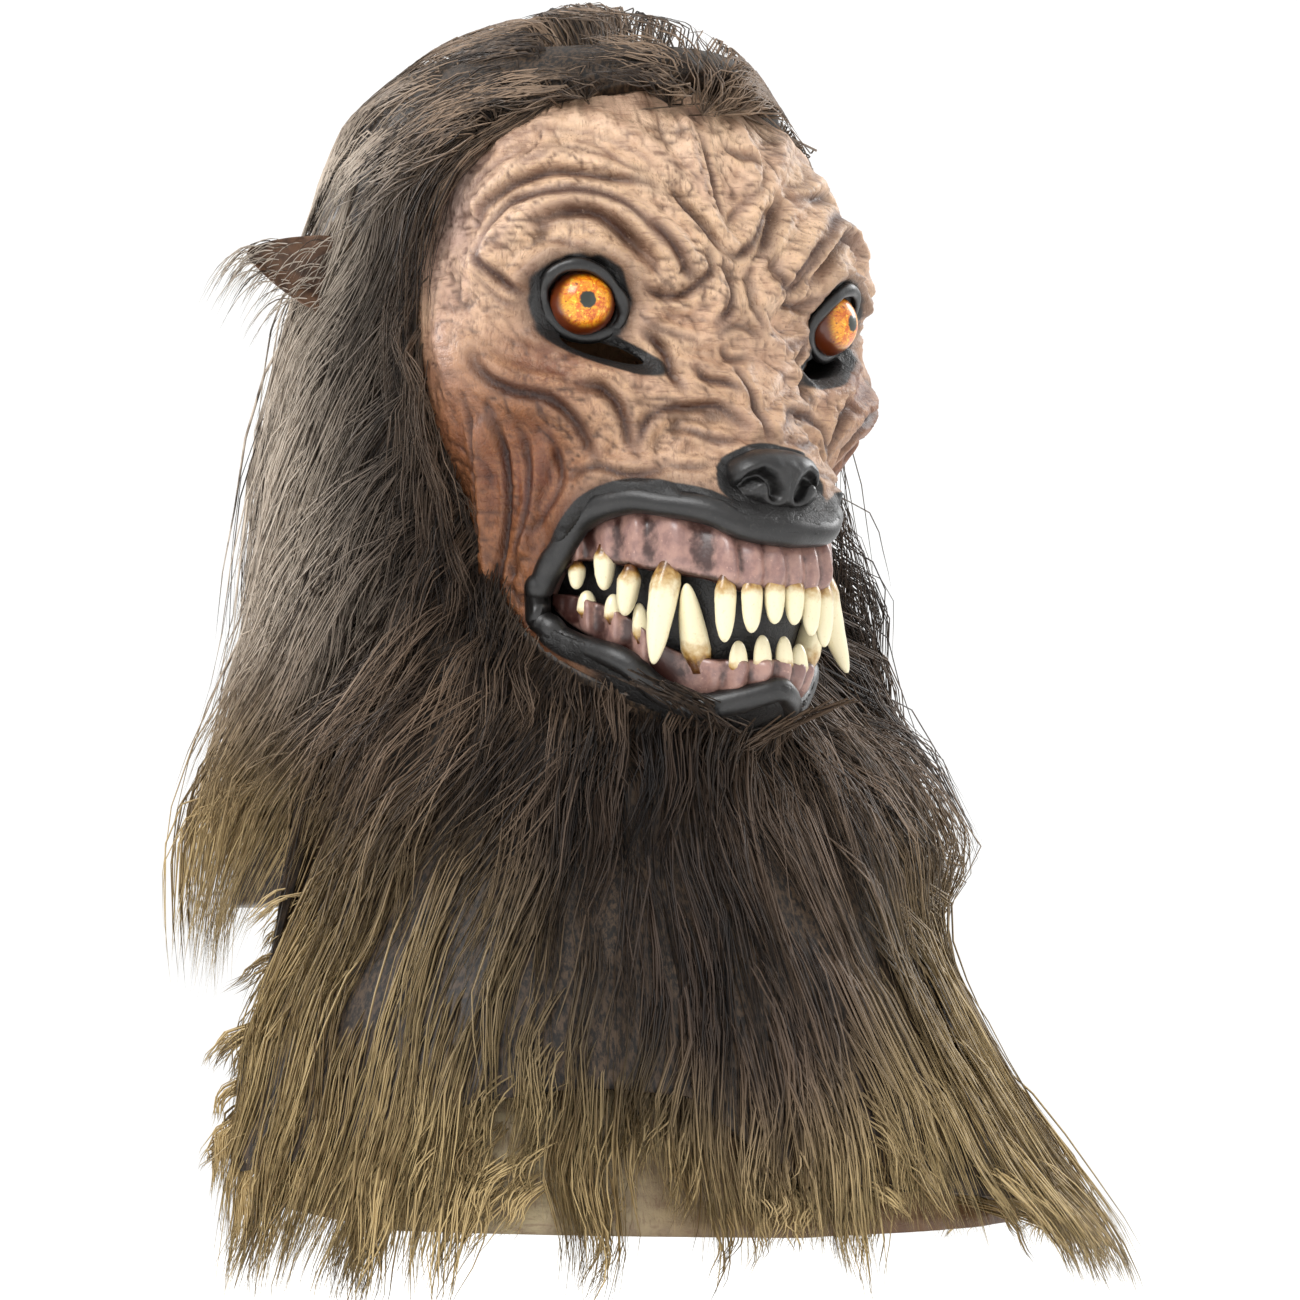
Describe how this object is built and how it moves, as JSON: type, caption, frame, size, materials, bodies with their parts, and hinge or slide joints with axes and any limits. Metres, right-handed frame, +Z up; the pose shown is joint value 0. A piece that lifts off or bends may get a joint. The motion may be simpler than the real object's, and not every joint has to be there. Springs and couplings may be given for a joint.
{
  "type": "latex dog mask",
  "caption": "Over-the-head latex costume mask of a snarling wolf-like dog: open jaws with separate teeth, amber eyes, a hollow head, a front bib and long brown hair.",
  "frame": {"origin": "the underside of the crown, where the mask sits on the wearer's head", "axes": "+Z up the wearer's neck, -Y the way the mask faces, +X the wearer's left"},
  "size_m": [0.3896, 0.3334, 0.5219],
  "materials": {
    "latex_skin": "satin painted latex, tan with brown creases, black lips, nose and eyelids",
    "latex_ear": "satin painted latex, brown",
    "gum": "glossy painted latex, mauve pink with dark grooves",
    "tooth": "glossy ivory, stained amber at the roots",
    "eye": "clear glossy acrylic over an amber iris",
    "hair": "long synthetic hair, dark brown with olive-brown tips"
  },
  "bodies": {
    "root": {"latex_head": "latex_skin", "eye_right": "eye", "ear_right": "latex_ear", "eye_left": "eye", "ear_left": "latex_ear", "upper_gum": "gum", "lower_gum": "gum", "upper_incisor_inner_right": "tooth", "upper_incisor_inner_left": "tooth", "upper_incisor_middle_right": "tooth", "upper_incisor_middle_left": "tooth", "upper_incisor_outer_right": "tooth", "upper_incisor_outer_left": "tooth", "upper_canine_right": "tooth", "upper_canine_left": "tooth", "upper_premolar_right": "tooth", "upper_premolar_left": "tooth", "upper_molar_right": "tooth", "upper_molar_left": "tooth", "upper_back_molar_right": "tooth", "upper_back_molar_left": "tooth", "lower_incisor_inner_right": "tooth", "lower_incisor_inner_left": "tooth", "lower_incisor_outer_right": "tooth", "lower_incisor_outer_left": "tooth", "lower_canine_right": "tooth", "lower_canine_left": "tooth", "lower_premolar_right": "tooth", "lower_premolar_left": "tooth", "lower_molar_right": "tooth", "lower_molar_left": "tooth", "lower_back_molar_right": "tooth", "lower_back_molar_left": "tooth", "crown_fur": "hair", "mane_fur": "hair", "chest_fur": "hair"}
  },
  "joints": []
}
